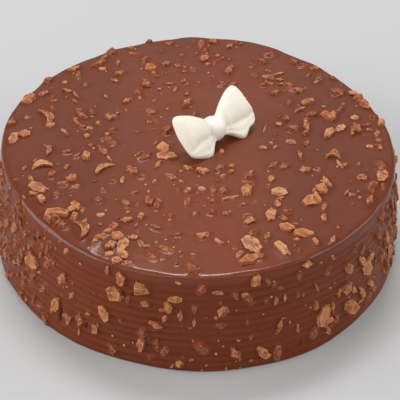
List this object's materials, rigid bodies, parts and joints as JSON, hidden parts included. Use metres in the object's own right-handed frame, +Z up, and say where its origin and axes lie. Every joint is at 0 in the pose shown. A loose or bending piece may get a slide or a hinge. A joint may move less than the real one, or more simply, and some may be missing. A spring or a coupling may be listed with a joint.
{
  "type": "chocolate cake",
  "caption": "Whole round layer cake in ribbed milk chocolate glaze with chopped nuts, topped with a moulded white chocolate bow.",
  "frame": {"origin": "centre of the cake's round, flat underside, which it rests on", "axes": "+Z up, -Y towards the side that the bow's front faces, X to the right of it"},
  "size_m": [0.2101, 0.2111, 0.0747],
  "materials": {
    "milk_chocolate_glaze": "satin chocolate glaze, thin over chopped nuts",
    "white_chocolate": "soft satin white chocolate",
    "chopped_nut": "roasted nut, partly filmed with glaze"
  },
  "bodies": {
    "root": {"cake": "milk_chocolate_glaze", "bow": "white_chocolate"}
  },
  "joints": []
}
